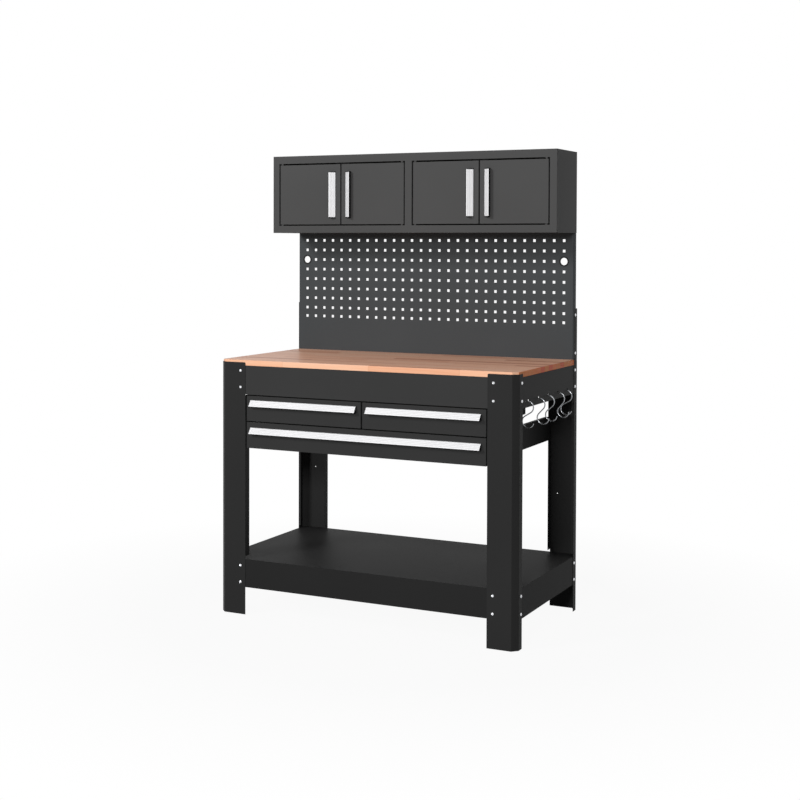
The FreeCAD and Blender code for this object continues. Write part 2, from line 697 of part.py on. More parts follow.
# Wall cabinet: case, back, divider, four doors on pivot pins.
case_half = inner_side + thin
case_front = size("cabinet_front")
case_bottom = size("cabinet_bottom")
case_top = case_bottom + size("cabinet_height")
opening_bottom = case_bottom + size("frame_bottom_rail")
opening_top = case_top - size("frame_top_rail")
opening_in = size("frame_mullion") * HALF
opening_out = case_half - size("frame_stile")
meeting = (opening_in + opening_out) * HALF
door_face = case_front + size("door_recess")
door_back = door_face + size("door_depth")
door_low = opening_bottom + size("door_bottom_gap")
door_high = opening_top - size("door_top_gap")
# Each door: edge with the hinge, free edge, and the way from the first to the second.
DOORS = {
    "1": (-(opening_out - size("door_gap")), -(meeting + size("door_gap") * HALF), 1),
    "2": (-(opening_in + size("door_gap")), -(meeting - size("door_gap") * HALF), -1),
    "3": (opening_in + size("door_gap"), meeting - size("door_gap") * HALF, 1),
    "4": (opening_out - size("door_gap"), meeting + size("door_gap") * HALF, -1),
}


def make_case():
    case = body_of("cabinet_case")
    prism(case, "XZ_Plane", [rectangle(-case_half, case_bottom, case_half, case_top)],
          case_front, panel_rear)
    inner = rectangle(-inner_side, case_bottom + thin, inner_side, case_top - thin)
    prism(case, "XZ_Plane", [inner], case_front + thin, panel_rear, cut=True)
    openings = [rectangle(opening_in, opening_bottom, opening_out, opening_top),
                rectangle(-opening_out, opening_bottom, -opening_in, opening_top)]
    prism(case, "XZ_Plane", openings, case_front, case_front + thin, cut=True)
    rims = []
    for opening in openings:
        (u0, v0), _, (u1, v1), _ = opening
        rims += [rectangle(u0 - thin, v0 - thin, u1 + thin, v1 + thin), opening]
    prism(case, "XZ_Plane", rims, case_front + thin * HALF, case_front + size("frame_return"))
    prism(case, "XY_Plane", [rectangle(-inner_side, panel_front, inner_side, panel_rear)],
          case_bottom, case_bottom + thin, cut=True)
    bore = size("pin_radius") + size("thread_play")
    holes = [Round(x, y, bore) for x, y in pin_places()]
    prism(case, "XY_Plane", holes, opening_bottom - thin, opening_top + thin, cut=True)
    rounded(case, size("case_rounding"), lambda edge: at(edge, y=case_front) and (
        at(edge, z=case_top) or at(edge, z=case_bottom) or at(edge, x=case_half)
        or at(edge, x=-case_half)))
    finish(case, "cabinet_case")

    back = body_of("cabinet_back")
    prism(back, "XZ_Plane", [inner], panel_front - thin, panel_front)
    prism(back, "XZ_Plane", [Round(x, z, size("bolt_hole")) for x, z in cabinet_bolt_places()],
          panel_front - thin, panel_front, cut=True)
    finish(back, "cabinet_back")

    divider = body_of("cabinet_divider")
    prism(divider, "XZ_Plane", [rectangle(-thin * HALF, case_bottom + thin, thin * HALF,
                                          case_top - thin)],
          case_front + thin, panel_front - thin)
    finish(divider, "cabinet_divider")


def pin_places():
    """Pivot axis of each door, as seen from above."""
    return [(hinge + size("pin_inset") * inward, door_face + size("pin_depth"))
            for hinge, _, inward in DOORS.values()]


def make_doors():
    for (name, (hinge, free, inward)), (pin_x, pin_y) in zip(DOORS.items(), pin_places()):
        left, right = (hinge, free) if inward > 0 else (free, hinge)
        door = body_of(f"door_{name}_panel")
        pan(door, left, right, door_low, door_high, door_face, door_back, thin)
        prism(door, "XY_Plane", [Round(pin_x, pin_y, size("pin_radius") + size("pin_play"))],
              door_low, door_high, cut=True)
        rounded(door, size("pan_rounding"), lambda edge: at(edge, y=door_face))
        finish(door, f"door_{name}_panel")

        # The pull's high edge points away from the gap where the two doors meet.
        toward_gap = -1 if free.value < hinge.value else 1
        gap_x = free + (size("door_gap") * HALF) * toward_gap
        base_x = gap_x - (size("door_pull_inset") + size("pull_height")) * toward_gap

        def place(out, up, base=base_x, sign=toward_gap):
            return base + up * sign, door_face - out
        cap_foot = opening_bottom + size("door_pull_lift")
        cap_head = cap_foot + size("door_pull_length")
        foot, head = cap_foot + size("door_cap_thickness"), cap_head - size("door_cap_thickness")
        pull = body_of(f"door_{name}_pull")
        prism(pull, "XY_Plane", [pull_outline(place)], foot, head)
        finish(pull, f"door_{name}_pull")
        make_caps(f"door_{name}_pull_caps", "XY_Plane", place, ((cap_foot, foot), (head, cap_head)))


def make_pins():
    """Two pins for each door, each with a collar that fills the gap between rail and door."""
    members = []
    reach, rise = size("pin_reach"), size("collar_play")
    for x, y in pin_places():
        for edge, rim, away in ((door_low, opening_bottom, -1), (door_high, opening_top, 1)):
            pin = body_of("hinge_pin")
            tail, head = edge - reach * away, rim + (thin + size("pin_radius")) * away
            prism(pin, "XY_Plane", [Round(x, y, size("pin_radius"))],
                  *((head, tail) if away < 0 else (tail, head)))
            collar, seat = edge + rise * away, rim
            prism(pin, "XY_Plane", [Round(x, y, size("collar_radius"))],
                  *((seat, collar) if away < 0 else (collar, seat)))
            members.append(pin)
    group("hinge_pins", members)


def make_catches():
    """A magnet block under the upper rail behind the free edge of each door."""
    members = []
    for hinge, free, inward in DOORS.values():
        block = body_of("catch_block")
        inner_edge = free - size("catch_width") * inward
        prism(block, "XY_Plane", [rectangle(inner_edge, door_back + size("catch_play"), free,
                                            door_back + size("catch_play") + size("catch_depth"))],
              opening_top - size("catch_height"), opening_top)
        members.append(block)
    group("door_catches", members)


# Fasteners, made once and set in place many times.
def bolt_shape(stack):
    """Domed head above the origin and a shank below it that passes the stack and its nut."""
    radius, height = SIZES["head_radius"], SIZES["head_height"]
    ball = (radius ** 2 + height ** 2) / (2 * height)
    head = Part.makeSphere(ball, Vector(0, 0, height - ball)).common(Part.makeCylinder(radius, height))
    length = stack + SIZES["nut_height"] + SIZES["bolt_radius"] * HALF
    shank = Part.makeCylinder(SIZES["bolt_radius"], length, Vector(0, 0, -length))
    return head.fuse(shank).removeSplitter()


def nut_shape(stack):
    """A hexagon nut under the stack."""
    across = SIZES["nut_flats"] / math.sqrt(3)
    corners = [Vector(across * math.cos(math.radians(60 * step)),
                      across * math.sin(math.radians(60 * step)), -stack) for step in range(7)]
    block = Part.Face(Part.makePolygon(corners)).extrude(Vector(0, 0, -SIZES["nut_height"]))
    bore = Part.makeCylinder(SIZES["bolt_radius"] + SIZES["thread_play"], SIZES["nut_height"],
                             Vector(0, 0, -stack - SIZES["nut_height"]))
    return block.cut(bore)


def rivet_shape(stack):
    head = Part.makeCylinder(SIZES["rivet_head"], SIZES["rivet_rise"])
    head = head.makeChamfer(SIZES["rivet_rise"] * HALF, [head.Edges[0]])
    shank = Part.makeCylinder(SIZES["rivet_radius"], stack, Vector(0, 0, -stack))
    return head.fuse(shank).removeSplitter()


def set_out(shape, places):
    """Copies of a fastener, each with its head facing the given way."""
    copies = []
    for point, facing in places:
        copy = shape.copy()
        copy.Placement = Placement(point, Rotation(Vector(0, 0, 1), facing))
        copies.append(copy)
    return copies


def fasteners(label, shapes):
    thing = doc.addObject("Part::Feature", label)
    thing.Shape = Part.makeCompound(shapes)
    finish(thing, label)


def frame_bolt_places():
    """Bolts through the flanges of the legs, and through the tongues of the rear ones."""
    places = []
    for side in SIDES.values():
        for end in ENDS.values():
            flange_levels, side_levels = bolt_levels(end < 0)
            x = leg_point(side, end, size("bolt_inset_front"), ZERO)[0].value
            face = leg_point(side, end, ZERO, ZERO)[1].value
            places += [(Vector(x, face, level.value), Vector(0, -end, 0)) for level in flange_levels]
            y = leg_point(side, end, ZERO, size("bolt_inset_side"))[1].value
            outer = half_width.value * side
            places += [(Vector(outer, y, level.value), Vector(side, 0, 0)) for level in side_levels]
    return places


def make_fasteners():
    frame_stack = SIZES["leg_sheet"] + SIZES["sheet"]
    cabinet_stack = SIZES["sheet"] * 2
    frame_places = frame_bolt_places()
    inside = panel_front.value - SIZES["sheet"]
    cabinet_places = [(Vector(x.value, inside, z.value), Vector(0, -1, 0))
                      for x, z in cabinet_bolt_places()]
    fasteners("frame_bolts", set_out(bolt_shape(frame_stack), frame_places + cabinet_places))
    fasteners("frame_nuts", set_out(nut_shape(frame_stack), frame_places)
              + set_out(nut_shape(cabinet_stack), cabinet_places))
    stack = SIZES["rail_sheet"] + SIZES["leg_sheet"]
    rivets = [(Vector((leg_inner_edge.value + SIZES["leg_sheet"]) * side, y.value, z.value),
               Vector(side, 0, 0)) for side in SIDES.values() for y, z in rivet_places(*ENDS.values())]
    fasteners("rail_rivets", set_out(rivet_shape(stack), rivets))


def make_hook(number, y, swing):
    """An S of round wire, drawn from the point of the slot edge that it hangs on."""
    hook = body_of(f"hook_{number}")
    radius, wire = size("hook_radius"), size("hook_wire") * HALF
    upper_x, upper_z = size("hook_offset"), size("hook_play") + wire - radius
    lower_x, lower_z = upper_x + size("hook_shift"), upper_z - size("hook_fall")
    along_x, along_z = SIZES["hook_shift"], -SIZES["hook_fall"]
    span = math.hypot(along_x, along_z)
    leave = math.atan2(along_z, along_x) + math.acos(2 * SIZES["hook_radius"] / span)
    end = math.radians(200)
    centre_up = Vector(upper_x.value, upper_z.value, 0)
    centre_low = Vector(lower_x.value, lower_z.value, 0)
    step = Vector(math.cos(leave), math.sin(leave), 0) * radius.value
    up = Vector(0, 0, 1)

    spine = hook.newObject("Sketcher::SketchObject", "spine")
    support = next(part for part in hook.Origin.OriginFeatures if part.Role == "XZ_Plane")
    spine.AttachmentSupport = [(support, "")]
    spine.MapMode = "FlatFace"
    spine.addGeometry([
        Part.ArcOfCircle(Part.Circle(centre_up, up, radius.value), leave, end),
        Part.LineSegment(centre_up + step, centre_low - step),
        Part.ArcOfCircle(Part.Circle(centre_low, up, radius.value), leave + math.pi, math.tau)], False)
    spine.addConstraint([Sketcher.Constraint("Tangent", 0, 1, 1, 1),
                         Sketcher.Constraint("Tangent", 1, 2, 2, 1)])
    bound = [("Radius", 0, None, radius), ("Radius", 2, None, radius),
             ("DistanceX", 0, 3, upper_x), ("DistanceY", 0, 3, upper_z),
             ("DistanceX", 2, 3, lower_x), ("DistanceY", 2, 3, lower_z),
             ("DistanceY", 0, 2, upper_z + radius * math.sin(end)), ("DistanceY", 2, 2, lower_z)]
    for kind, index, point, length in bound:
        if kind == "Radius":
            which = spine.addConstraint(Sketcher.Constraint(kind, index, length.value))
        else:
            which = spine.addConstraint(Sketcher.Constraint(kind, -1, 1, index, point, length.value))
        spine.setExpression(f"Constraints[{which}]", length.text)
    section = draw(hook, "XY_Plane", lower_z, [Round(lower_x + radius, ZERO, wire)])
    pipe = hook.newObject("PartDesign::AdditivePipe", "wire")
    pipe.Profile = section
    pipe.Spine = (spine, ["Edge1", "Edge2", "Edge3"])
    hook.Tip = pipe
    hook.Placement = Placement(Vector(0, 0, 0), Rotation(Vector(0, 1, 0), swing))
    hook.Label = f"hook_{number}"
    hook.setExpression("Placement.Base.x", (hook_hang_x - origin_x).text)
    hook.setExpression("Placement.Base.y", (y - origin_y).text)
    hook.setExpression("Placement.Base.z", hook_level.text)
    nodes.append((f"hook_{number}", hook))


for end_name in ENDS:
    for side_name in SIDES:
        make_leg(side_name, end_name)
    make_front_apron(end_name)
for side_name in SIDES:
    make_side_apron(side_name)
make_worktop()
make_shelf()
make_shelf_stiffener()
make_back_panel()
make_grommets()
make_slide_rails()
for drawer_name, drawer_sizes in DRAWERS.items():
    make_drawer(drawer_name, drawer_sizes)
make_case()
make_doors()
make_pins()
make_catches()
make_fasteners()
for hook_number, place_y in enumerate(hook_places(), 1):
    make_hook(hook_number, place_y, SIZES.get(f"hook_{hook_number}_swing", 0))

doc.recompute()
failed = [thing.Label for thing in doc.Objects if "Invalid" in thing.State or "Error" in thing.State]
for cut in doc.findObjects("PartDesign::Pocket"):
    if cut.BaseFeature.Shape.Volume - cut.Shape.Volume < 1e-3:
        failed.append(f"{cut.Label} cuts nothing")
for label, thing in nodes:
    if thing.Shape.isNull() or not thing.Shape.isValid() or not thing.Shape.Solids:
        failed.append(label)
if failed:
    raise RuntimeError(f"these did not build: {failed}")

os.makedirs("parts", exist_ok=True)
for label, thing in nodes:
    thing.Shape.exportStep(f"parts/{label}.step")
print(len(nodes), "pieces written")
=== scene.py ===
"""A steel workbench with a wood top, drawers and a wall cabinet, dressed for a studio picture.

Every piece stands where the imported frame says, in metres, with the origin on the floor under the
middle of the object, X to its right, Y to its rear and Z up.
"""
# %% [markdown]
# # Dressing a steel workbench
#
# The frame that we load holds every part of the bench as a plain solid: folded sheet, wood,
# slides, wire and bolts. It is right in size and place, but it has no paint, no grain and no soft
# edges. This lesson gives each part the finish of the real one, and replaces the parts whose
# small shapes matter most: the aluminium pulls, the wire hooks, the bolts and the cable rings.

import json
import math

import bmesh
import bpy
import numpy as np
from mathutils import Matrix, Vector


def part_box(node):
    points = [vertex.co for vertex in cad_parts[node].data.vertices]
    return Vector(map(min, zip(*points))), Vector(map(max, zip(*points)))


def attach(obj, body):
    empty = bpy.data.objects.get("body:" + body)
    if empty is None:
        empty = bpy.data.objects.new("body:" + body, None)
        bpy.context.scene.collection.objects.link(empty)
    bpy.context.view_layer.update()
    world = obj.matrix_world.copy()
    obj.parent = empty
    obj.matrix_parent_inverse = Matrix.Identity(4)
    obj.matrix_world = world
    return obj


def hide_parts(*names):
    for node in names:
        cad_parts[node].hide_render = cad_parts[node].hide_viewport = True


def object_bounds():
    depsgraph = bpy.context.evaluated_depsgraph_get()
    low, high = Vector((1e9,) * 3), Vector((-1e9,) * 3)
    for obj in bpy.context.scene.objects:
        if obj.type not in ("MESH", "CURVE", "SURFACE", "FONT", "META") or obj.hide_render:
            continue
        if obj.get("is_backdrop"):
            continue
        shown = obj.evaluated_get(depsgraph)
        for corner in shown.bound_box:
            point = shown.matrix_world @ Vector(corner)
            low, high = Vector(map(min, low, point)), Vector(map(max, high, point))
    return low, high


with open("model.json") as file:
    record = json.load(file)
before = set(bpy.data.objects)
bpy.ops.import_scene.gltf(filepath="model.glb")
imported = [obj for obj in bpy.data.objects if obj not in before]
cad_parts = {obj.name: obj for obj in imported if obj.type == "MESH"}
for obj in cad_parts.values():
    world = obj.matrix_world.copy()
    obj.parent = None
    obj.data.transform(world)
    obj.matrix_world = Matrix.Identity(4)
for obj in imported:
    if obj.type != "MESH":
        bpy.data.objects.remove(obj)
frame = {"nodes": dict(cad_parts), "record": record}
cad_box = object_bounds()
record = frame["record"]
MM = 0.001
print("nodes in the frame:", len(frame["nodes"]))

# %% [markdown]
# ## Writing shader maths as expressions
#
# A material in Blender is a graph of nodes. Wiring each one by hand hides the idea behind it, so
# a small class wraps an output socket: adding, multiplying or comparing two of them adds the Math
# node that does it. Every other node comes from one method, `Finish.node`.


# %% Sockets that can be added and multiplied
class Wire:
    """An output socket. Python operators on wires and numbers add Math nodes."""

    def __init__(self, finish, socket):
        self.finish = finish
        self.socket = socket

    def other(self, name):
        """Another output of the same node."""
        return Wire(self.finish, self.socket.node.outputs[name])

    def maths(self, operation, *values):
        return self.finish.node("Math", {"operation": operation}, dict(enumerate(values)))

    def __add__(self, other):
        return self.maths("ADD", self, other)

    def __sub__(self, other):
        return self.maths("SUBTRACT", self, other)

    def __rsub__(self, other):
        return self.maths("SUBTRACT", other, self)

    def __mul__(self, other):
        return self.maths("MULTIPLY", self, other)

    def __truediv__(self, other):
        return self.maths("DIVIDE", self, other)

    def __lt__(self, other):
        return self.maths("LESS_THAN", self, other)

    def __gt__(self, other):
        return self.maths("GREATER_THAN", self, other)

    __radd__ = __add__

    def floor(self):
        return self.maths("FLOOR", self)

    def fraction(self):
        return self.maths("FRACT", self)

    def larger(self, other):
        return self.maths("MAXIMUM", self, other)

    def smaller(self, other):
        return self.maths("MINIMUM", self, other)


# %% [markdown]
# ## One method for every other node
#
# `Finish.node` takes a node's type, its settings and its sockets. The helpers under it are the
# few nodes that this bench uses again and again: noise, a colour ramp, a bump and the final
# shader.


# %% A finish being built
class Finish:
    """The nodes of a material or of the world."""

    def __init__(self, owner):
        owner.use_nodes = True
        self.owner = owner
        self.tree = owner.node_tree
        self.tree.nodes.clear()

    def node(self, kind, settings=None, sockets=None, output=0):
        made = self.tree.nodes.new("ShaderNode" + kind)
        for name, value in (settings or {}).items():
            if name == "stops":
                self.set_stops(made.color_ramp, value)
            else:
                setattr(made, name, value)
        for name, value in (sockets or {}).items():
            socket = made.inputs[name]
            if isinstance(value, Wire):
                self.tree.links.new(value.socket, socket)
            elif socket.type == "RGBA":
                socket.default_value = (*value, 1)
            else:
                socket.default_value = value
        return Wire(self, made.outputs[output]) if made.outputs else None

    def set_stops(self, ramp, stops):
        while len(ramp.elements) < len(stops):
            ramp.elements.new(0.5)
        for element, (position, colour) in zip(ramp.elements, stops):
            element.position = position
            element.color = (*colour, 1)

    def place(self):
        """The object's own coordinates, in metres."""
        return self.node("TexCoord", output="Object")

    def scaled(self, factors, source=None):
        """The object's coordinates, multiplied along each axis."""
        return self.node("VectorMath", {"operation": "MULTIPLY"},
                         {0: source or self.place(), 1: factors})

    def noise(self, scale, detail, roughness=0.5, vector=None, **more):
        sockets = {"Vector": vector or self.place(), "Scale": scale, "Detail": detail,
                   "Roughness": roughness, **more}
        return self.node("TexNoise", sockets=sockets, output="Fac")

    def ramp(self, factor, *stops):
        return self.node("ValToRGB", {"stops": stops}, {0: factor}, "Color")

    def tint(self, colour, factor, wash):
        """Multiply a colour by a wash, as far as the factor says."""
        return self.node("Mix", {"data_type": "RGBA", "blend_type": "MULTIPLY"},
                         {"Factor": factor, 6: colour, 7: wash}, 2)

    def bump(self, height, strength, distance):
        return self.node("Bump", sockets={"Height": height, "Strength": strength,
                                          "Distance": distance}, output="Normal")

    def surface(self, **sockets):
        names = {name.replace("_", " ").title().replace("Ior", "IOR"): value
                 for name, value in sockets.items()}
        shader = self.node("BsdfPrincipled", sockets=names, output="BSDF")
        self.node("OutputMaterial", sockets={"Surface": shader})
        return self.owner


def finish_named(name):
    return Finish(bpy.data.materials.new(name))


# %% [markdown]
# ## Colours as they look on a screen
#
# Paint is matched on a screen, but a shader works in linear light. One function turns the
# first into the second: small values are divided, the others follow a power of 2.4.


# %% Screen values to linear light
def linear(red, green, blue):
    """Screen values from 0 to 255 as the linear colour that a shader works in."""
    shown = np.array([red, green, blue]) / 255
    light = np.where(shown <= 0.04045, shown / 12.92, ((shown + 0.055) / 1.055) ** 2.4)
    return tuple(light.tolist())


def shaded(colour, factor):
    return tuple(channel * factor for channel in colour)


print("mid grey in linear light:", linear(128, 128, 128)[0])

# %% [markdown]
# ## Powder coat
#
# The steel is sprayed with dry powder and baked. The coat is even, satin and nearly black, with
# the faint dimples called orange peel. Those dimples are about two millimetres wide, so they come
# from noise at a few hundred per metre, in the bump only, and a slower noise makes the coat a
# little uneven. Such a coat reflects little until it is seen at a low angle, so its specular
# level is low. Each group of parts has a tone of its own, and these tones are partly painted light
# and shade: the groups higher up, such as the cabinet and the front apron, are painted lighter, and
# the legs and the low shelf darker. A faint blue painted into the panel offsets the warm light that
# the wood throws onto it.


# %% Powder coats
CLOUDS_PER_METRE, GRAINS_PER_METRE, DIMPLES_PER_METRE = 2.5, 1400.0, 520.0
COAT_UNEVENNESS = 0.06
DIMPLE_DEPTH = 0.4 * MM


def powder_coat(name, shade, roughness, gloss):
    finish = finish_named(name)
    slow = finish.noise(CLOUDS_PER_METRE, 3.0)
    grain = finish.noise(GRAINS_PER_METRE, 2.0)
    tone = slow * 0.7 + grain * 0.3
    colour = finish.ramp(tone, (0.3, shaded(shade, 1 - COAT_UNEVENNESS)),
                         (0.7, shaded(shade, 1 + COAT_UNEVENNESS)))
    peel = finish.noise(DIMPLES_PER_METRE, 1.5, 0.4)
    return finish.surface(base_color=colour, roughness=roughness - 0.04 + slow * 0.08,
                          specular_ior_level=gloss,
                          normal=finish.bump(peel + grain * 0.35, 0.12, DIMPLE_DEPTH))


# Lower groups get darker tones and higher ones lighter: partly painted light and shade.
frame_coat = powder_coat("frame_powder_coat", linear(47, 47, 47), 0.50, 0.03)
shelf_coat_painted_shade = powder_coat("shelf_powder_coat_painted_shade", linear(43, 43, 43), 0.50, 0.02)
apron_coat_painted_light = powder_coat("apron_powder_coat_painted_light", linear(58, 58, 58), 0.50, 0.03)
panel_coat = powder_coat("panel_powder_coat", linear(74, 77, 79), 0.54, 0.05)
cabinet_coat = powder_coat("cabinet_powder_coat", linear(79, 79, 79), 0.48, 0.04)
drawer_coat = powder_coat("drawer_powder_coat", linear(55, 55, 55), 0.48, 0.03)

# %% [markdown]
# ## Laminated hardwood
#
# The top is glued up from strips about 40 mm wide, each made of shorter pieces set end to end. So
# the colour is chosen per piece: the strip's number is the whole part of y over the strip width,
# each strip slides by its own random amount, and the piece's number is the whole part of x over a
# length. Inside a piece, noise stretched along x makes the grain, and thin dark lines mark the
# glue joints. Some pieces are darker, which shows most on the sanded top, and the sawn edges are
# a little redder than it. The right end, which the camera sees, shows end grain, which soaks up
# more oil: it is darker, red in some strips and brown in others.


# %% Hardwood
STRIP_WIDTH, PIECE_LENGTH = 41 * MM, 340 * MM
WOOD_SKIN = 0.8 * MM
WOOD_LOW, WOOD_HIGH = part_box("worktop")
WOOD_END, WOOD_TOP = WOOD_HIGH.x - WOOD_SKIN, WOOD_HIGH.z - WOOD_SKIN
GLUE_SHARE, BUTT_SHARE = 0.012, 0.0018
SLIDE_REACH, GRAIN_REACH_X, GRAIN_REACH_Y = 3.0, 7.0, 0.31
GROWTH, FIBRES, PORES = (3.0, 55.0, 55.0), (14.0, 700.0, 700.0), (60.0, 2600.0, 2600.0)
GRAIN_DEPTH = 0.3 * MM


def hardwood():
    """Three noises, each finer than the last, make growth bands, fibres and pores.

    Each has few waves per metre along x and many across it. Every piece takes its grain from
    another place, so the bands don't run on from one piece to the next.
    """
    finish = finish_named("laminated_hardwood")
    x = finish.node("SeparateXYZ", sockets={0: finish.place()}, output="X")
    across = x.other("Y") / STRIP_WIDTH
    row = across.floor()
    slide = finish.node("TexWhiteNoise", {"noise_dimensions": "1D"}, {"W": row}, "Value")
    along = (x + slide * SLIDE_REACH) / PIECE_LENGTH
    piece = finish.node("CombineXYZ", sockets={0: row, 1: along.floor()})
    pick = finish.node("TexWhiteNoise", {"noise_dimensions": "2D"}, {"Vector": piece}, "Value")
    shift = finish.node("CombineXYZ", sockets={0: pick * GRAIN_REACH_X, 1: pick * GRAIN_REACH_Y})
    grown = finish.node("VectorMath", {"operation": "ADD"}, {0: finish.place(), 1: shift})
    broad = finish.noise(1.0, 4.0, 0.6, finish.scaled(GROWTH, grown), Distortion=0.6)
    fibre = finish.noise(1.0, 3.0, 0.6, finish.scaled(FIBRES, grown))
    tone = pick * 0.20 + broad * 0.58 + fibre * 0.22
    colour = finish.ramp(tone, (0.22, linear(243, 178, 142)), (0.42, linear(253, 197, 160)),
                         (0.60, linear(255, 209, 176)), (0.84, linear(255, 217, 190)))
    top = x.other("Z") > WOOD_TOP
    side = across.fraction()
    butt = along.fraction() < BUTT_SHARE
    glue = (side < GLUE_SHARE).larger(butt).larger(side > 1 - GLUE_SHARE)
    chosen = finish.ramp(pick, (0.0, linear(222, 211, 209)), (0.45, linear(255, 255, 255)))
    picked = finish.tint(colour, 0.35 + top * 0.65, chosen)
    joined = finish.tint(picked, glue * 0.5, linear(176, 120, 88))
    sanded = finish.tint(joined, top, linear(255, 249, 254))
    sawn = finish.tint(sanded, 1.0 - top, linear(252, 242, 238))
    oil = finish.ramp(pick, (0.35, linear(255, 142, 88)), (0.65, linear(238, 168, 76)))
    oiled = finish.tint(sawn, (x > WOOD_END) * 0.9, oil)
    pores = finish.noise(1.0, 2.0, 0.6, finish.scaled(PORES, grown))
    return finish.surface(base_color=oiled, roughness=0.36 + fibre * 0.12, specular_ior_level=0.06,
                          coat_weight=0.05, coat_roughness=0.16,
                          normal=finish.bump(fibre * 0.6 + pores * 0.4, 0.10, GRAIN_DEPTH))


wood = hardwood()
print("wood strips over the depth:", round((WOOD_HIGH.y - WOOD_LOW.y) / STRIP_WIDTH))

# %% [markdown]
# ## Bright metals
#
# The pulls are extruded aluminium, brushed along their length and anodised: fine noise, stretched
# along the brushing, goes to the colour, the roughness and the bump. Anodising leaves a soft
# milky skin, so the metal is not fully metallic. The hollow that the fingers reach into is painted
# dark grey, as painted shade for the light that hardly gets in there: each point of a pull says
# whether it lies there. Bolts and slides are zinc plated, which is a little uneven, and the hooks
# are chromed wire.


# %% Metals
SCRATCH_DEPTH = 0.2 * MM
CLOUDS_IN_METAL, CLOUDS_IN_PLATING = 9.0, 260.0


def brushed_aluminium(name, stretch, low, high):
    """Noise on coordinates that are multiplied by `stretch`: few per metre along the brushing."""
    finish = finish_named(name)
    lines = finish.noise(1.0, 3.0, 0.6, finish.scaled(stretch))
    cloud = finish.noise(CLOUDS_IN_METAL, 2.0)
    bright = finish.ramp(lines * 0.8 + cloud * 0.2, (0.25, linear(low, low, low + 2)),
                         (0.75, linear(high, high, high + 1)))
    # Points in the pull's hollow take a dark grey: painted shade where little light gets in.
    hollow = finish.node("Attribute", {"attribute_name": "hollow"}, output="Fac")
    colour = finish.tint(bright, hollow, linear(40, 40, 41))
    return finish.surface(base_color=colour, metallic=0.6, roughness=0.58 + lines * 0.12,
                          normal=finish.bump(lines, 0.10, SCRATCH_DEPTH))


def plated(name, shade, roughness, unevenness):
    finish = finish_named(name)
    cloud = finish.noise(CLOUDS_IN_PLATING, 3.0)
    colour = finish.ramp(cloud, (0.3, shaded(shade, 1 - unevenness)), (0.7, shade))
    return finish.surface(base_color=colour, metallic=1.0, roughness=roughness + cloud * 0.08,
                          normal=finish.bump(cloud, 0.06, SCRATCH_DEPTH))


FINE, LONG = 1500.0, 6.0
drawer_aluminium = brushed_aluminium("brushed_aluminium_lying", (LONG, FINE, FINE),
                                     low=206, high=226)
door_aluminium = brushed_aluminium("brushed_aluminium_standing", (FINE, FINE, LONG),
                                   low=208, high=228)
zinc = plated("zinc_plate", linear(222, 223, 226), 0.30, 0.10)
slide_zinc = plated("slide_zinc_plate", linear(176, 179, 183), 0.34, 0.14)
chrome = plated("chrome_plate", linear(150, 152, 155), 0.22, 0.05)

# %% [markdown]
# ## Black plastic
#
# The pulls' end caps, the cable rings and the magnet blocks are moulded. A mould gives plastic a
# fine matt skin, so a very fine noise goes to its bump and, a little, to its roughness and
# colour.


# %% Moulded plastic
SKIN_PER_METRE = 2400.0


def moulded(name, shade, roughness):
    finish = finish_named(name)
    skin = finish.noise(SKIN_PER_METRE, 2.0)
    colour = finish.ramp(skin, (0.3, shaded(shade, 0.85)), (0.7, shade))
    return finish.surface(base_color=colour, roughness=roughness + skin * 0.1,
                          specular_ior_level=0.15, normal=finish.bump(skin, 0.15, SCRATCH_DEPTH))


black_plastic = moulded("black_moulding", linear(26, 26, 27), 0.50)

# %% [markdown]
# ## Placing a piece
#
# Each new piece needs its material and the body that it rides on, and it takes the place of the
# node that it stands for, whose solid is hidden. One function does all this; it also looks up the
# node's finish slot in the record, but keeps nothing of it.


# %% Put a piece on the bench
def body_of_node(node):
    return next(body for body, held in record["behaviour"]["bodies"].items() if node in held)


def slot_of_node(node):
    return next(part["material_slot"] for part in record["subparts"] if part["node"] == node)


def stand_for(node, mesh, material, suffix="dressed"):
    """Make an object at the origin, ride it on the node's body and let it stand for the node."""
    piece = bpy.data.objects.new(f"{node}_{suffix}", mesh)
    bpy.context.scene.collection.objects.link(piece)
    mesh.materials.clear()
    mesh.materials.append(material)
    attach(piece, body_of_node(node))
    slot_of_node(node)
    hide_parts(node)
    return piece


# %% [markdown]
# ## Soft edges for folded sheet
#
# Folded and punched steel never has a knife edge, and the thin line of light that a bend catches
# is what makes it read as metal. A node of the frame is loose triangles, so we copy it, merge its
# doubled points, join the triangles of each flat face, and let a Bevel modifier round what is
# left.


# %% Dress a node of the frame
SAME_POINT = 0.002 * MM
FLAT_WITHIN, SHARP_FROM, ROUNDED_FROM = math.radians(0.2), math.radians(32), math.radians(40)


def dress(node, material, edge=0.4 * MM, segments=2):
    """A merged copy of a node, whose sharp edges are rounded by `edge` metres."""
    mesh = frame["nodes"][node].data.copy()
    work = bmesh.new()
    work.from_mesh(mesh)
    bmesh.ops.remove_doubles(work, verts=work.verts, dist=SAME_POINT)
    bmesh.ops.dissolve_limit(work, angle_limit=FLAT_WITHIN, verts=work.verts, edges=work.edges)
    work.to_mesh(mesh)
    work.free()
    mesh.shade_smooth()
    mesh.set_sharp_from_angle(angle=SHARP_FROM)
    piece = stand_for(node, mesh, material)
    bevel = piece.modifiers.new("soft_edge", "BEVEL")
    bevel.width = edge
    bevel.segments = segments
    bevel.limit_method = "ANGLE"
    bevel.angle_limit = ROUNDED_FROM
    bevel.harden_normals = True
    return piece


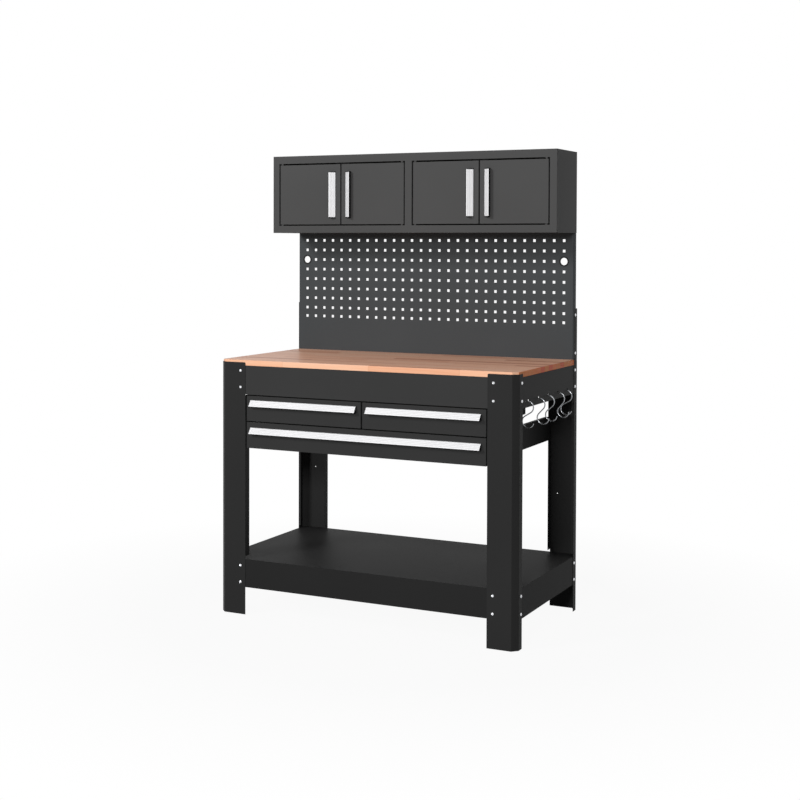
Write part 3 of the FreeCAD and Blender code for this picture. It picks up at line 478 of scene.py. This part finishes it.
DRAWERS = ("upper_left", "upper_right", "lower")
DOORS = ("1", "2", "3", "4")
steel = {
    "leg_front_left": frame_coat, "leg_front_right": frame_coat, "leg_rear_left": frame_coat,
    "leg_rear_right": frame_coat, "front_apron": apron_coat_painted_light, "rear_apron": frame_coat,
    "side_apron_left": frame_coat, "side_apron_right": frame_coat, "lower_shelf": shelf_coat_painted_shade,
    "shelf_stiffener": frame_coat, "back_panel": panel_coat, "cabinet_case": cabinet_coat,
}
for name in DRAWERS:
    steel[f"drawer_{name}_front"] = drawer_coat
for name in DOORS:
    steel[f"door_{name}_panel"] = cabinet_coat
dressed = [dress(node, coat) for node, coat in steel.items()]
dressed.append(dress("worktop", wood, 0.5 * MM, 3))
print("pieces with soft edges:", len(dressed))

# %% [markdown]
# ## Turning grids of points into pieces
#
# The pulls, hooks, bolts and rings are all the same kind of shape: an outline that is carried
# along something, a straight line, a bent wire or a turn. Such a shape is a grid of points, where
# one number says how far along and the other how far around. This helper joins any such grid with
# quads.


# %% Mesh from grids
def mesh_from_grids(name, grids, smooth_below, flat_ends=True):
    """Join neighbours of a grid with quads and, unless it meets itself, close its ends.

    grids[c, i, j] is point j around ring i of copy c. The ring closes on itself, so point j joins
    point j + 1 and the last joins the first. Edges that turn by more than `smooth_below` degrees
    stay sharp.
    """
    copies, rings, around, _ = grids.shape
    number = np.arange(copies * rings * around).reshape(copies, rings, around)
    here, there = number[:, :-1], number[:, 1:]
    quads = np.stack([here, np.roll(here, -1, 2), np.roll(there, -1, 2), there], -1).reshape(-1, 4)
    ends = np.concatenate([number[:, 0], number[:, -1]]) if flat_ends else quads[:0]
    mesh = bpy.data.meshes.new(name)
    mesh.from_pydata(grids.reshape(-1, 3).tolist(), [], quads.tolist() + ends.tolist())
    work = bmesh.new()
    work.from_mesh(mesh)
    bmesh.ops.remove_doubles(work, verts=work.verts, dist=SAME_POINT / 2)
    bmesh.ops.recalc_face_normals(work, faces=work.faces)
    work.to_mesh(mesh)
    work.free()
    mesh.shade_smooth()
    mesh.set_sharp_from_angle(angle=math.radians(smooth_below))
    return mesh


# %% [markdown]
# ## Aluminium pulls
#
# A pull is one aluminium extrusion. A flat web lies on the drawer, a broad face slopes out from
# it, and a lip turns back for the fingers. The real face carries fine grooves along its length,
# which break up its reflection. So the outline is worked out first, with three shallow grooves
# and rounded corners, and is then carried straight along.


# %% Outline of a pull
def bend_round(before, corner, after, reach, steps=5):
    """A rounded corner C: the curve (1-t)^2 A + 2 t (1-t) C + t^2 B, from A before it to B."""
    t = np.linspace(0, 1, steps)[:, None]
    start = corner + (before - corner) * reach / np.linalg.norm(before - corner)
    end = corner + (after - corner) * reach / np.linalg.norm(after - corner)
    return (1 - t) ** 2 * start + 2 * t * (1 - t) * corner + t ** 2 * end


def pull_outline(height, reach, wall=1.6 * MM, lip=4.5 * MM, top=4.0 * MM, groove=0.35 * MM):
    """Points (out from the panel, up) around the section.

    The face is the straight line from its top corner to its lip, pushed inwards by the groove depth
    times a raised cosine around each groove's middle. The first and last few points of that line
    make room for the rounded corners.
    """
    crest, brow = np.array([0, height]), np.array([top, height])
    nose, toe = np.array([reach, lip / 2]), np.array([reach, 0])
    along = np.linspace(0, 1, 61)[:, None]
    inwards = np.array([nose[1] - brow[1], brow[0] - nose[0]]) / np.linalg.norm(nose - brow)
    middles, half_width = np.array([0.26, 0.5, 0.74]), 0.055
    near = np.clip(np.abs(along - middles) / half_width, 0, 1)
    depth = groove * (1 + np.cos(np.pi * near)).sum(1, keepdims=True) / 2
    face = brow + (nose - brow) * along + inwards * depth
    inner = np.array([[reach - lip, 0], [reach - lip, wall], [reach - wall, wall],
                      [reach - wall, lip / 2], [top - wall / 2, height - wall],
                      [wall, height - wall], [wall, 0], [0, 0]])
    return np.concatenate([
        bend_round(inner[-1], crest, brow, 0.5 * MM), bend_round(crest, brow, nose, 1.0 * MM),
        face[4:-5], bend_round(brow, nose, toe, 0.9 * MM),
        bend_round(nose, toe, inner[0], 0.6 * MM), inner])


section = pull_outline(21.5 * MM, 18 * MM)
print("points around a pull:", len(section), "from", section.min(0), "to", section.max(0))

# %% [markdown]
# ## Carrying the outline along
#
# On a drawer the pull lies along X and slopes down. On a door it stands along Z, with its lip on
# the side away from the gap between two doors, so the left door of each pair turns it one way and
# the right door the other. The node's own box gives the place and the length. The last points of
# the outline, from the middle of the lip's rounding on, are the ones in the hollow: they are marked
# for painted shade.


# %% Pulls on drawers and doors
# The last points of the outline, in the hollow, which get painted shade.
PAINTED_SHADE_POINTS = 11


def carry(node, standing, material, turned_left=False):
    """Points of a straight extrusion: the outline at each end of the node's box."""
    low, high = (np.array(corner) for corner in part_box(node))
    across, along = (0, 2) if standing else (2, 0)
    outline = pull_outline(high[across] - low[across], high[1] - low[1])
    out, up = outline[:, 0], outline[:, 1]
    grid = np.empty((1, 2, len(outline), 3))
    grid[..., 1] = high[1] - out
    grid[..., across] = high[across] - up if turned_left else low[across] + up
    grid[..., along] = np.array([low[along], high[along]])[None, :, None]
    mesh = mesh_from_grids(node, grid, smooth_below=25)
    # Mark the points that get painted shade in the pull's material.
    in_painted_shade = np.arange(len(outline)) >= len(outline) - PAINTED_SHADE_POINTS
    mesh.attributes.new("hollow", "FLOAT", "POINT").data.foreach_set(
        "value", np.tile(in_painted_shade, 2).astype(np.float32))
    return stand_for(node, mesh, material, "extrusion")


CAP_EDGE = 0.6 * MM
for name in DRAWERS:
    carry(f"drawer_{name}_pull", False, drawer_aluminium)
    dress(f"drawer_{name}_pull_caps", black_plastic, CAP_EDGE)
for name in DOORS:
    carry(f"door_{name}_pull", True, door_aluminium, turned_left=name in "24")
    dress(f"door_{name}_pull_caps", black_plastic, CAP_EDGE)
print("pulls:", len(DRAWERS) + len(DOORS))

# %% [markdown]
# ## Wire hooks
#
# Each hook is 4 mm wire bent to an S: an arc over the edge of its slot, a straight run, and an
# arc that holds the tool. Most hooks lean a little, as they do after use. The wire is a circle
# carried along that bent line, and its two ends are filed round.


# %% Path and surface of a hook
WIRE_RADIUS = 2 * MM


def s_curve(radius=20.5 * MM, offset=3.6 * MM, shift=16 * MM, fall=44.5 * MM, play=0.75 * MM,
            points=49):
    """Points (x, z) of the wire's middle line.

    The upper arc runs from 200 degrees down to the angle where a line touches both circles, and the
    lower arc runs from the far side of that line round to 360 degrees.
    """
    upper = np.array([offset, play + WIRE_RADIUS - radius])
    lower = upper + np.array([shift, -fall])
    leave = math.atan2(-fall, shift) + math.acos(2 * radius / math.hypot(shift, fall))
    first = np.linspace(math.radians(200), leave, points)
    last = np.linspace(leave + math.pi, math.tau, points)
    above = upper + radius * np.column_stack([np.cos(first), np.sin(first)])
    below = lower + radius * np.column_stack([np.cos(last), np.sin(last)])
    return np.concatenate([above, below])


def wire_along(path, file=0.8 * MM, around=16):
    """A circle of the wire's size across each point of the path.

    It is the point, plus the wire's radius times the cosine of the turn along the path's own
    normal, plus its sine along Y. Near both ends the circle shrinks as a quarter round does.
    """
    steps = np.linalg.norm(np.diff(path, axis=0), axis=1)
    reached = np.concatenate([[0], np.cumsum(steps)])
    total = reached[-1]
    rounding = file * (1 - np.cos(np.linspace(0, np.pi / 2, 6)))
    stations = np.unique(np.concatenate([rounding, reached[2:-2], total - rounding]))
    line = np.column_stack([np.interp(stations, reached, path[:, axis]) for axis in (0, 1)])
    heading = np.gradient(line, stations, axis=0)
    heading /= np.linalg.norm(heading, axis=1, keepdims=True)
    normal = np.column_stack([-heading[:, 1], heading[:, 0]])
    left = np.clip(file - np.minimum(stations, total - stations), 0, file)
    radius = (WIRE_RADIUS - file + np.sqrt(file ** 2 - left ** 2))[:, None]
    turn = np.linspace(0, math.tau, around, endpoint=False)
    grid = np.empty((1, len(stations), around, 3))
    grid[0, ..., 0] = line[:, :1] + radius * np.cos(turn) * normal[:, :1]
    grid[0, ..., 1] = radius * np.sin(turn)
    grid[0, ..., 2] = line[:, 1:] + radius * np.cos(turn) * normal[:, 1:]
    return grid


# %% Hang the hooks
LEAN_DEGREES = {"hook_1": 18, "hook_2": 3, "hook_3": 8, "hook_4": 0, "hook_5": 20}


def lean_about_y(grid, angle):
    """Turn points about the Y axis: x' = x cos + z sin, z' = z cos - x sin."""
    turned = grid.copy()
    turned[..., 0] = grid[..., 0] * math.cos(angle) + grid[..., 2] * math.sin(angle)
    turned[..., 2] = grid[..., 2] * math.cos(angle) - grid[..., 0] * math.sin(angle)
    return turned


hangers = {joint["child"]: joint["pos_m"] for joint in record["behaviour"]["joints"]
           if joint["child"].startswith("hook_")}
straight_hook = wire_along(s_curve())
for name, hang in hangers.items():
    hook = lean_about_y(straight_hook, math.radians(LEAN_DEGREES[name])) + np.array(hang)
    stand_for(name, mesh_from_grids(name, hook, smooth_below=40), chrome, "wire")
    past_corner = hook.reshape(-1, 3).max(0) - np.array(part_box(name)[1])
    print(name, "off the solid by", np.abs(past_corner).max())

# %% [markdown]
# ## Bolts with a socket
#
# The frame is held by button-head bolts. What makes one read as a bolt and not as a bead is its
# hexagon socket. A turned shape has one radius at each height, so the socket is made by letting
# the radius of those rings depend on the turn: the distance of a flat over the cosine of the
# angle from its middle.


# %% Where the bolts are
def loose_parts(node):
    """Lists of points, one list per loose part of a node.

    Every point starts with its own number. Each triangle gives its corners the lowest number among
    them, again and again, until nothing changes: then a part shares one number.
    """
    mesh = frame["nodes"][node].data
    points = np.empty(len(mesh.vertices) * 3)
    mesh.vertices.foreach_get("co", points)
    points, same = np.unique(points.reshape(-1, 3).round(6), axis=0, return_inverse=True)
    corners = np.empty(len(mesh.loops), int)
    mesh.loops.foreach_get("vertex_index", corners)
    triangles = same.reshape(-1)[corners].reshape(-1, 3)
    number, before = np.arange(len(points)), None
    while before is None or (number != before).any():
        before = number.copy()
        lowest = number[triangles].min(1)
        np.minimum.at(number, triangles.ravel(), np.repeat(lowest, 3))
    return [points[number == part] for part in np.unique(number)]


def seat_and_facing(points):
    """Where a bolt's head sits and which way it faces: the seat is at the widest ring."""
    low, high = points.min(0), points.max(0)
    axis = int(np.argmax(high - low))
    middle = (low + high) / 2
    away = np.delete(points - middle, axis, axis=1)
    seat = middle.copy()
    seat[axis] = points[np.argmax(np.linalg.norm(away, axis=1).round(5)), axis]
    facing = np.zeros(3)
    facing[axis] = 1 if high[axis] - seat[axis] < seat[axis] - low[axis] else -1
    return seat, facing


bolts = [seat_and_facing(points) for points in loose_parts("frame_bolts")]
print("bolts:", len(bolts))


# %% Shape of the bolts
def bolt_rings(radius=5.25 * MM, height=3.3 * MM, flats=2 * MM, socket_floor=1.2 * MM,
               edge=0.2 * MM, shank=3 * MM, point=0.5 * MM, length=9 * MM, around=24):
    """Points of one bolt, head up: (r cos turn, r sin turn, h).

    The dome is a circle of radius (R^2 + k^2) / 2k, for a head of radius R and height k. Inside the
    socket, r is the distance to a flat over the cosine of the angle from the middle of that flat.
    """
    ball = (radius ** 2 + height ** 2) / (2 * height)
    turn = np.linspace(0, math.tau, around, endpoint=False)
    from_flat = (turn + math.pi / 6) % (math.pi / 3) - math.pi / 6
    hexagon = flats / np.cos(from_flat)
    rim = flats * 1.25
    dome_r = np.linspace(rim, radius, 7)
    dome_h = height - ball + np.sqrt(ball ** 2 - dome_r ** 2)
    rings = [(0 * turn, socket_floor), (hexagon, socket_floor), (hexagon, dome_h[0] - edge)]
    rings += [(r + 0 * turn, h) for r, h in zip(dome_r, dome_h)]
    rings += [(radius - edge + 0 * turn, 0.0), (shank + 0 * turn, 0.0),
              (shank + 0 * turn, point - length), (shank - point + 0 * turn, -length),
              (0 * turn, -length)]
    return np.array([np.column_stack([r * np.cos(turn), r * np.sin(turn), h + 0 * turn])
                     for r, h in rings])


def set_facing(rings, seat, facing):
    """Stand a ring shape on its seat: its z axis goes along the facing."""
    along = np.array(facing, float)
    first = np.roll(np.abs(along), 1)
    second = np.cross(along, first)
    return rings @ np.array([first, second, along]) + seat


one_bolt = bolt_rings()
bolt_grids = np.array([set_facing(one_bolt, seat, facing) for seat, facing in bolts])
bolts_mesh = mesh_from_grids("frame_bolts", bolt_grids, smooth_below=30)
stand_for("frame_bolts", bolts_mesh, zinc, "button_heads")

# %% [markdown]
# ## Cable rings
#
# The two round holes of the back panel each carry a moulded ring, so that a cable isn't cut by
# the sheet. A ring is a closed outline that is turned about the hole's axis: a round lip in
# front, a sleeve through the sheet, and a lip of the same size behind.


# %% Turn the rings
SLEEVE_CORNERS = (3, 4)


def ring_outline(bore, low, high, flange, lip=2 * MM, wall=1.3 * MM, corner=0.7 * MM,
                 tight=0.1 * MM):
    """Rounded outline (radius, height along the axis) of a ring with a flange at each end."""
    sleeve = bore + wall
    corners = np.array([[bore, low], [flange, low], [flange, low + lip], [sleeve, low + lip],
                        [sleeve, high - lip], [flange, high - lip], [flange, high], [bore, high]])
    before, after = np.roll(corners, 1, 0), np.roll(corners, -1, 0)
    bends = enumerate(zip(before, corners, after))
    return np.concatenate([bend_round(*bend, tight if index in SLEEVE_CORNERS else corner, steps=4)
                           for index, bend in bends])


def turned_ring(points, around=40):
    """The outline at each turn about Y: (r cos turn, h, r sin turn). The last turn is the first."""
    low, high = points.min(0), points.max(0)
    middle = (low + high) / 2
    across = points[:, [0, 2]] - middle[[0, 2]]
    away = np.linalg.norm(across, axis=1)
    outline = ring_outline(away.min(), low[1], high[1], away.max())
    turn = np.linspace(0, math.tau, around + 1)[:, None]
    return np.stack([middle[0] + outline[:, 0] * np.cos(turn), outline[:, 1] + 0 * turn,
                     middle[2] + outline[:, 0] * np.sin(turn)], -1)


ring_grids = np.array([turned_ring(points) for points in loose_parts("cable_grommets")])
print("cable rings:", ring_grids.shape)
rings_mesh = mesh_from_grids("cable_grommets", ring_grids, smooth_below=30, flat_ends=False)
stand_for("cable_grommets", rings_mesh, black_plastic, "rings")

# %% [markdown]
# ## Parts that keep their solid
#
# Rails, slides, boxes, nuts and rivets are mostly hidden, and so is the inside of the cabinet.
# Their solids are already right, so they only get a finish.


# %% Paint the rest
plain = {
    "cabinet_back": cabinet_coat, "cabinet_divider": cabinet_coat, "door_catches": black_plastic,
    "drawer_side_rails": frame_coat, "slide_hangers": frame_coat, "slide_outer_members": slide_zinc,
    "frame_nuts": zinc, "rail_rivets": frame_coat, "hinge_pins": cabinet_coat,
}
for name in DRAWERS:
    plain[f"drawer_{name}_box"] = drawer_coat
    plain[f"drawer_{name}_slide_inner"] = slide_zinc
    plain[f"drawer_{name}_slide_middle"] = slide_zinc
for node, material in plain.items():
    mesh = frame["nodes"][node].data
    mesh.materials.clear()
    mesh.materials.append(material)
print("painted nodes:", len(plain))

# %% [markdown]
# ## Studio floor and world
#
# The picture has a plain white ground. A camera ray that misses the bench sees a white world, and
# the floor shows the same white with a little of its own shading, so that it keeps the bench's
# soft shadow. That share fades out with distance, so no line shows where the floor ends.


# %% Floor and world
def white_share(finish):
    """One for a camera, glossy or transmission ray, and zero for light that spreads."""
    seen = finish.node("LightPath", output="Is Camera Ray")
    return seen.larger(seen.other("Is Glossy Ray")).larger(seen.other("Is Transmission Ray"))


FLOOR_SIZE, FLOOR_DROP = 24, 0.6 * MM


def studio_floor(near=0.94, fade_from=0.9, fade_over=1.0):
    """The share of white is `near` up to `fade_from` metres out, and 1 after `fade_over` more."""
    bpy.ops.mesh.primitive_plane_add(size=FLOOR_SIZE, location=(0, 0, -FLOOR_DROP))
    floor = bpy.context.object
    floor.name = "studio_floor"
    finish = finish_named("studio_white")
    away = finish.node("VectorMath", {"operation": "LENGTH"}, {0: finish.place()}, "Value")
    far = ((away - fade_from) / fade_over).larger(0.0).smaller(1.0)
    share = near + far * (1 - near)
    matt = finish.node("BsdfDiffuse", sockets={"Color": (0.5, 0.5, 0.5)}, output="BSDF")
    white = finish.node("Emission", sockets={"Color": (1, 1, 1), "Strength": 1.0})
    mix = finish.node("MixShader", sockets={0: white_share(finish) * share, 1: matt, 2: white})
    finish.node("OutputMaterial", sockets={"Surface": mix})
    floor.data.materials.append(finish.owner)
    floor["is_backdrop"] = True


def studio_world(ambient):
    world = bpy.data.worlds.new("studio_world")
    bpy.context.scene.world = world
    finish = Finish(world)
    dim = finish.node("Background", sockets={"Color": (1, 1, 1), "Strength": ambient})
    white = finish.node("Background", sockets={"Color": (1, 1, 1), "Strength": 1.0})
    mix = finish.node("MixShader", sockets={0: white_share(finish), 1: dim, 2: white})
    finish.node("OutputWorld", sockets={"Surface": mix})


studio_floor()
studio_world(ambient=0.15)

# %% [markdown]
# ## Two soft lamps
#
# A broad lamp stands high at the left front. It leaves the right sides darker, lets the pulls
# throw soft shadows to the right, and fades a little towards the floor. A smaller, weaker one
# stands at the right front, low enough to reach the rear legs under the drawers. Their power is
# set so that a colour facing them renders about as it was written.


# %% Lamps
def lamp(name, place, target, size, power):
    light = bpy.data.lights.new(name, "AREA")
    light.shape = "SQUARE"
    light.size = size
    light.energy = power
    thing = bpy.data.objects.new(name, light)
    bpy.context.scene.collection.objects.link(thing)
    aim = (Vector(target) - Vector(place)).to_track_quat("-Z", "Y")
    thing.matrix_world = Matrix.Translation(place) @ aim.to_matrix().to_4x4()


lamp("key_lamp", (-2.6, -4.4, 3.6), (0.0, 0.0, 1.2), size=1.3, power=140)
lamp("front_lamp", (1.1, -4.6, 2.0), (0.0, 0.0, 1.1), size=0.7, power=95)

# %% [markdown]
# ## Camera
#
# The place and turn of the camera were solved from the level edges and the even rows of holes.
# The picture's middle is not on the lens axis, so a small shift moves the frame, as a view camera
# does.


# %% Camera
SENSOR_WIDTH = 36


def studio_camera():
    """Look from a place along yaw and pitch. Focal length, width and centre are in pixels."""
    place = Vector((2.18431, -4.75249, 1.34709))
    yaw, pitch, roll = 0.477, 0.023, 0.002
    right = Vector((math.cos(yaw), math.sin(yaw), 0))
    ahead = Vector((-math.sin(yaw) * math.cos(pitch), math.cos(yaw) * math.cos(pitch),
                    -math.sin(pitch)))
    up = right.cross(ahead)
    turned_right = right * math.cos(roll) + up * math.sin(roll)
    turned_up = up * math.cos(roll) - right * math.sin(roll)
    focal, frame_width = 1435.88, 800
    centre_x, centre_y = 337.98, 275.43
    camera = bpy.data.cameras.new("studio_camera")
    camera.sensor_width = SENSOR_WIDTH
    camera.lens = focal / frame_width * SENSOR_WIDTH
    camera.shift_x = (frame_width / 2 - centre_x) / frame_width
    camera.shift_y = (centre_y - frame_width / 2) / frame_width
    camera.clip_end = 60
    thing = bpy.data.objects.new("studio_camera", camera)
    bpy.context.scene.collection.objects.link(thing)
    axes = Matrix((turned_right, turned_up, -ahead)).transposed().to_4x4()
    thing.matrix_world = Matrix.Translation(place) @ axes
    bpy.context.scene.camera = thing


studio_camera()
bpy.context.scene.view_settings.view_transform = "Standard"

# %% [markdown]
# ## Size before and after dressing
#
# Dressing must not make the bench bigger. The box of the plain solids and the box of the finished
# pieces are both printed here, in millimetres.

# %% Sizes before and after dressing
visual_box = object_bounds()
for label, box in (("solids", cad_box), ("dressed", visual_box)):
    print(label, [round((high - low) / MM, 1) for low, high in zip(*box)])
